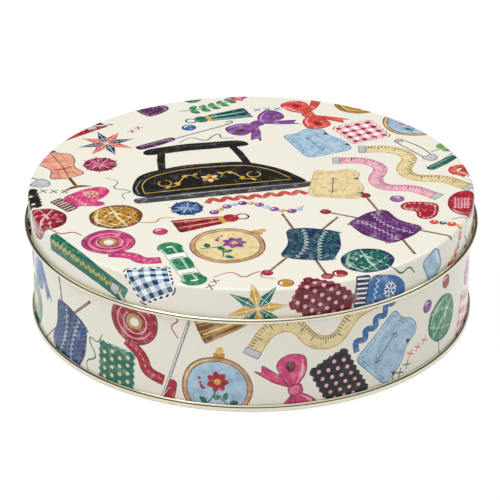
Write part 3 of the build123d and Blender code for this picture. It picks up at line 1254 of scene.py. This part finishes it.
def corner_normals(mesh):
    """Where each face corner is, its distance from the tin's axis, the way out there, and its
    normal."""
    spot = read_out(mesh.vertices, "co", 3)[read_out(mesh.loops, "vertex_index", kind=int)] / MM
    reach = np.hypot(spot[:, 0], spot[:, 1])
    way = spot[:, :2] / np.maximum(reach, TINY)[:, None]
    return spot, reach, way, read_out(mesh.corner_normals, "vector", 3)


def round_normals(piece, bend_radius, bend_height, flat_inside):
    """Gives the print the normals of the round form that it is bent to, so that the many
    small faces under it never show."""
    mesh = piece.data
    spot, reach, way, normals = corner_normals(mesh)
    printed = np.repeat(read_out(mesh.attributes["printed"].data, "value", kind=bool),
                        read_out(mesh.polygons, "loop_total", kind=int))
    out = reach - (np.minimum(reach, bend_radius) if flat_inside else bend_radius)
    up = spot[:, 2] - np.minimum(spot[:, 2], bend_height)
    length = np.maximum(np.hypot(out, up), TINY)
    bent = np.column_stack([way * (out / length)[:, None], up / length])
    on_form = flat_inside | (up > 0) | (np.abs(reach - WALL) < SAME_PLACE)
    chosen = printed & on_form
    mesh.normals_split_custom_set(np.where(chosen[:, None], bent, normals).tolist())


def barrel_normals(base):
    """Lets the outer wall of the double seam shine as the round that rollers leave it in."""
    spot, reach, way, normals = corner_normals(base.data)
    lean = np.radians(SEAM_LEAN * (spot[:, 2] - SEAM_HEIGHT / 2))
    bent = np.column_stack([way * np.cos(lean)[:, None], np.sin(lean)])
    chosen = reach > SEAM_FACE
    base.data.normals_split_custom_set(np.where(chosen[:, None], bent, normals).tolist())


def sheet_shell(name, line, map_hole):
    """The unprinted rest of a sheet, laid small in a corner of the map, where map_hole is the
    length of sheet that would fill the hole in its middle."""
    shell = lathe(name, line)
    mesh = shell.data
    lengths = [map_hole]
    for here, there in zip(line, line[1:]):
        lengths.append(lengths[-1] + (there - here).length)
    section_reach = np.array([(point.x, point.y) for point in line])
    map_places = []
    for vertex in mesh.vertices:
        spot = vertex.co / MM
        reach = math.hypot(spot.x, spot.y)
        nearest = np.abs(section_reach - (reach, spot.z)).sum(axis=1).argmin()
        share = lengths[nearest] / lengths[-1] * SHELL_MAP_RADIUS
        way = Vector((spot.x, spot.y)) / max(reach, NEAR_AXIS)
        map_places.append((SHELL_MAP_SPOT[0] + way.x * share, SHELL_MAP_SPOT[1] + way.y * share))
    corners = read_out(mesh.loops, "vertex_index", kind=int)
    layer = mesh.uv_layers.new(name="OFBake")
    layer.data.foreach_set("uv", np.array(map_places)[corners].ravel())
    return shell


def join_sheet(name, mesh, shell):
    """Joins the print to the rest of its sheet along their common rings."""
    for each in (mesh, shell.data):
        each.materials.append(enamel)
        each.materials.append(lacquer)
    shell.data.polygons.foreach_set("material_index", [1] * len(shell.data.polygons))
    piece = bpy.data.objects.new(name, mesh)
    bpy.context.collection.objects.link(piece)
    bpy.ops.object.select_all(action="DESELECT")
    shell.select_set(True)
    piece.select_set(True)
    bpy.context.view_layer.objects.active = piece
    bpy.ops.object.join()
    bpy.ops.object.mode_set(mode="EDIT")
    close_piece()
    bpy.ops.object.shade_smooth_by_angle(angle=CREASE)
    return piece


def make_lid():
    inner_bend = LID_EDGE - SHEET
    skirt = TIN_HEIGHT - LID_EDGE - LID_ROLL_HEIGHT
    inside = section((0, TIN_HEIGHT - SHEET), 0, LID_FLAT, (inner_bend, -90), skirt,
                     (LID_ROLL, LID_ROLL_TURN))
    roll = section((SKIRT, LID_ROLL_HEIGHT), -90, (LID_ROLL - SHEET, LID_ROLL_TURN))
    shell = sheet_shell("lid_shell", inside + roll[::-1], 0)
    rings = [LID_FLAT + EDGE_ARC * step / EDGE_STEPS for step in range(EDGE_STEPS + 1)]
    rings.append(LID_PRINT)
    for reach in rings:
        lid_print.fold([polar(360 * turn / TURNS, reach) for turn in range(TURNS)], closed=True)
    for turn in range(TURNS):
        lid_print.fold([polar(360 * turn / TURNS, reach) for reach in rings])
    mesh = lid_print.mesh("lid_print", lid_place, lid_map)
    lid = join_sheet("printed_lid", mesh, shell)
    round_normals(lid, LID_FLAT, TIN_HEIGHT - LID_EDGE, flat_inside=True)
    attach(lid, "lid")
    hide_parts("lid")


def make_body_wall():
    hook = BASE_FOLD_HEIGHT - HOOK_CLEARANCE - BODY_FOLD_HEIGHT
    hook_top = BASE_FOLD_HEIGHT - HOOK_CLEARANCE
    hook_middle = WALL_MIDDLE + 2 * SEAM_PITCH
    outer = section((hook_middle - SHEET / 2, hook_top), -90, hook,
                    (SEAM_PITCH - SHEET / 2, -180), PRINT_FOOT - BODY_FOLD_HEIGHT)
    inner = section((hook_middle + SHEET / 2, hook_top), -90, hook,
                    (SEAM_PITCH + SHEET / 2, -180), MOUTH_CENTRE - BODY_FOLD_HEIGHT,
                    (MOUTH_ROLL - SHEET, MOUTH_ROLL_TURN))
    roll = section((WALL - 2 * MOUTH_ROLL, MOUTH_CENTRE), -90,
                   (MOUTH_ROLL, MOUTH_ROLL_TURN - 180))
    shell = sheet_shell("wall_shell", roll + inner[::-1] + outer, WALL_MAP_HOLE)
    columns = [WALL_GIRTH * turn / TURNS for turn in range(TURNS + 1)]
    roll_rows = [MOUTH_CENTRE + math.pi * MOUTH_ROLL * step / ROLL_STEPS
                 for step in range(ROLL_STEPS + 1)]
    rows = [PRINT_FOOT, *LOCK_SEAM_HEIGHTS, *roll_rows]
    for row in rows:
        wall_print.fold([Vector((column, row)) for column in columns])
    for column in columns:
        wall_print.fold([Vector((column, row)) for row in rows])
    for offset in (-GROOVE_SIDE, 0, GROOVE_SIDE):
        wall_print.fold([Vector((GROOVE_MIDDLE + offset, height))
                         for height in np.linspace(*LOCK_SEAM_HEIGHTS, GROOVE_STEPS)])
    mesh = wall_print.mesh("wall_print", wall_place, wall_map)
    wall = join_sheet("printed_wall", mesh, shell)
    round_normals(wall, WALL - MOUTH_ROLL, MOUTH_CENTRE, flat_inside=False)
    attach(wall, "tin_body")
    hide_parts("body_wall")


def make_lock_seam():
    """The raised fold inside the wall at the back."""
    low, high = LOCK_SEAM_HEIGHTS
    inside = WALL - SHEET + LOCK_SEAM_SUNK
    depth = LOCK_SEAM_DEPTH + LOCK_SEAM_SUNK
    bpy.ops.object.select_all(action="DESELECT")
    bpy.ops.mesh.primitive_cube_add(
        size=MM, location=(0, (inside - depth / 2) * MM, (low + high) / 2 * MM),
        scale=(LOCK_SEAM_WIDTH, depth, high - low))
    seam = bpy.context.object
    seam.name = "lock_seam"
    bpy.ops.object.transform_apply(location=True, rotation=True, scale=True)
    bevel = seam.modifiers.new("fold", "BEVEL")
    bevel.width = LOCK_SEAM_ROUND * MM
    bevel.segments = 3
    bpy.ops.object.modifier_apply(modifier="fold")
    bpy.ops.object.shade_smooth_by_angle(angle=CREASE)
    seam.data.materials.append(lacquer)
    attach(seam, "tin_body")
    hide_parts("body_wall")


def make_base():
    chuck_wall = WALL_MIDDLE - SEAM_PITCH
    corner_height = SEAM_CORNER + SHEET / 2
    rise = math.sin(math.radians(SEAM_SWELL))
    swell_foot = SHEET / 2 + SEAM_CORNER * (1 - rise)
    swell_head = BASE_FOLD_HEIGHT + SEAM_PITCH * rise
    swell_radius = (swell_head - swell_foot) / 2 / rise
    base = lathe("lacquered_base", both_sides(
        (0, PANEL_HEIGHT), 0,
        chuck_wall - PANEL_CORNER,
        (PANEL_CORNER, -90),
        PANEL_HEIGHT - PANEL_CORNER - corner_height,
        (SEAM_CORNER, 90),
        4 * SEAM_PITCH - 2 * SEAM_CORNER,
        (SEAM_CORNER, 90 - SEAM_SWELL),
        (swell_radius, 2 * SEAM_SWELL),
        (SEAM_PITCH, 180 - SEAM_SWELL),
        BASE_FOLD_HEIGHT - HOOK_CLEARANCE - BODY_FOLD_HEIGHT,
    ))
    bpy.ops.object.shade_smooth_by_angle(angle=CREASE)
    barrel_normals(base)
    base.data.materials.append(lacquer)
    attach(base, "tin_body")
    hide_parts("base_panel")


# ---- stage, lamps and camera, in metres ----
FLOOR_SIZE = 8.0
FLOOR_TONE = 0.8                # how pale the floor is to the tin
FLOOR_SHADOW = 0.12             # how much of the tin's shadow the camera sees on it
FLOOR_GLOW = 0.92               # and how bright it is besides
FLAG_REACH = 2.5                # the ring of dark cloth: its radius, foot, top and tone
FLAG_FOOT = 0.05
FLAG_TOP = 1.9
FLAG_TONE = 0.10
FLAG_TURNS = 96
SKY_FILL = 0.62                 # how strongly the sky lights the tin
AIM = Vector((0, 0, 0.030))     # about the middle of the tin
CAMERA_LENS = 160.85            # in millimetres, as is the sensor
CAMERA_SENSOR = 36
CAMERA_DISTANCE = 1.0079
CAMERA_NEAR = 0.01
CAMERA_TILT = math.radians(27.11)
CAMERA_SHIFT = (-0.0024, -0.0198)


def screen_rays(tree):
    """One for rays that show the backdrop: straight from the camera, or off metal and glass."""
    rays = add_node(tree, "LightPath", {}).outputs
    seen = reckon(tree, "MAXIMUM", rays["Is Camera Ray"], rays["Is Glossy Ray"])
    return reckon(tree, "MAXIMUM", seen, rays["Is Transmission Ray"])


def show_by_ray(tree, chosen, plain, special):
    """Gives a material its plain shader, and the special one for the chosen rays."""
    choice = add_node(tree, "MixShader", {
        "Fac": chosen, 1: plain.outputs[0], 2: special.outputs[0]})
    tree.links.new(choice.outputs["Shader"], tree.nodes["Material Output"].inputs["Surface"])


def make_floor():
    """A white table top that keeps only a breath of shadow, as in a cut-out photograph."""
    bpy.ops.object.select_all(action="DESELECT")
    bpy.ops.mesh.primitive_plane_add(size=FLOOR_SIZE)
    floor = bpy.context.object
    floor.name = "floor"
    material, tree, principled = new_material("floor")
    fill_sockets(tree, principled, {
        "Base Color": (FLOOR_TONE,) * 3 + (1,), "Roughness": 1.0, "Specular IOR Level": 0.0})
    faint = add_node(tree, "BsdfDiffuse", {"Color": (FLOOR_SHADOW,) * 3 + (1,)})
    glow = add_node(tree, "Emission", {"Strength": FLOOR_GLOW})
    both = add_node(tree, "AddShader", {0: faint.outputs["BSDF"], 1: glow.outputs["Emission"]})
    show_by_ray(tree, screen_rays(tree), principled, both)
    floor.data.materials.append(material)


def make_flags():
    """A ring of dark cloth round the set that only reflections show, so that the rolled edges
    take the dark line that studio metal has."""
    bpy.ops.object.select_all(action="DESELECT")
    bpy.ops.mesh.primitive_cylinder_add(
        vertices=FLAG_TURNS, radius=FLAG_REACH, depth=FLAG_TOP - FLAG_FOOT,
        end_fill_type="NOTHING", location=(0, 0, (FLAG_TOP + FLAG_FOOT) / 2))
    flags = bpy.context.object
    flags.name = "flags"
    material, tree = new_material("dark_cloth")[:2]
    cloth = add_node(tree, "Emission", {"Color": (FLAG_TONE,) * 3 + (1,)})
    unseen = add_node(tree, "BsdfTransparent", {})
    off_metal = add_node(tree, "LightPath", {}).outputs["Is Glossy Ray"]
    show_by_ray(tree, off_metal, unseen, cloth)
    flags.data.materials.append(material)


def make_sky():
    world = bpy.data.worlds.new("studio")
    bpy.context.scene.world = world
    world.use_nodes = True
    tree = world.node_tree
    fill_sockets(tree, tree.nodes["Background"], {
        "Color": (1, 1, 1, 1), "Strength": ranged(tree, screen_rays(tree), 0, 1, SKY_FILL, 1)})


def add_softbox(name, place, size, power, gleams):
    """A lamp that faces the tin. One that doesn't gleam stays out of reflections."""
    lamp = bpy.data.lights.new(name, "AREA")
    lamp.shape = "RECTANGLE"
    lamp.size, lamp.size_y = size
    lamp.energy = power
    holder = bpy.data.objects.new(name, lamp)
    bpy.context.collection.objects.link(holder)
    holder.visible_glossy = gleams
    holder.location = place
    holder.rotation_euler = (AIM - Vector(place)).to_track_quat("-Z", "Y").to_euler()


def make_camera():
    camera = bpy.data.cameras.new("camera")
    camera.lens = CAMERA_LENS
    camera.sensor_width = CAMERA_SENSOR
    camera.shift_x, camera.shift_y = CAMERA_SHIFT
    camera.clip_start = CAMERA_NEAR
    holder = bpy.data.objects.new("camera", camera)
    bpy.context.collection.objects.link(holder)
    back = Vector((0, -math.cos(CAMERA_TILT), math.sin(CAMERA_TILT)))
    holder.location = AIM + back * CAMERA_DISTANCE
    holder.rotation_euler = (-back).to_track_quat("-Z", "Y").to_euler()
    bpy.context.scene.camera = holder


enamel = make_enamel()
lacquer = make_lacquer()
make_lid()
make_body_wall()
make_lock_seam()
make_base()
make_floor()
make_flags()
make_sky()
add_softbox("top_light", place=(-0.1, 0.1, 1.3), size=(2.4, 0.7), power=11.1, gleams=True)
add_softbox("front_fill", place=(-0.6, -1.35, 0.7), size=(1.0, 1.0), power=2.0, gleams=False)
make_camera()
bpy.context.scene.view_settings.view_transform = "Standard"
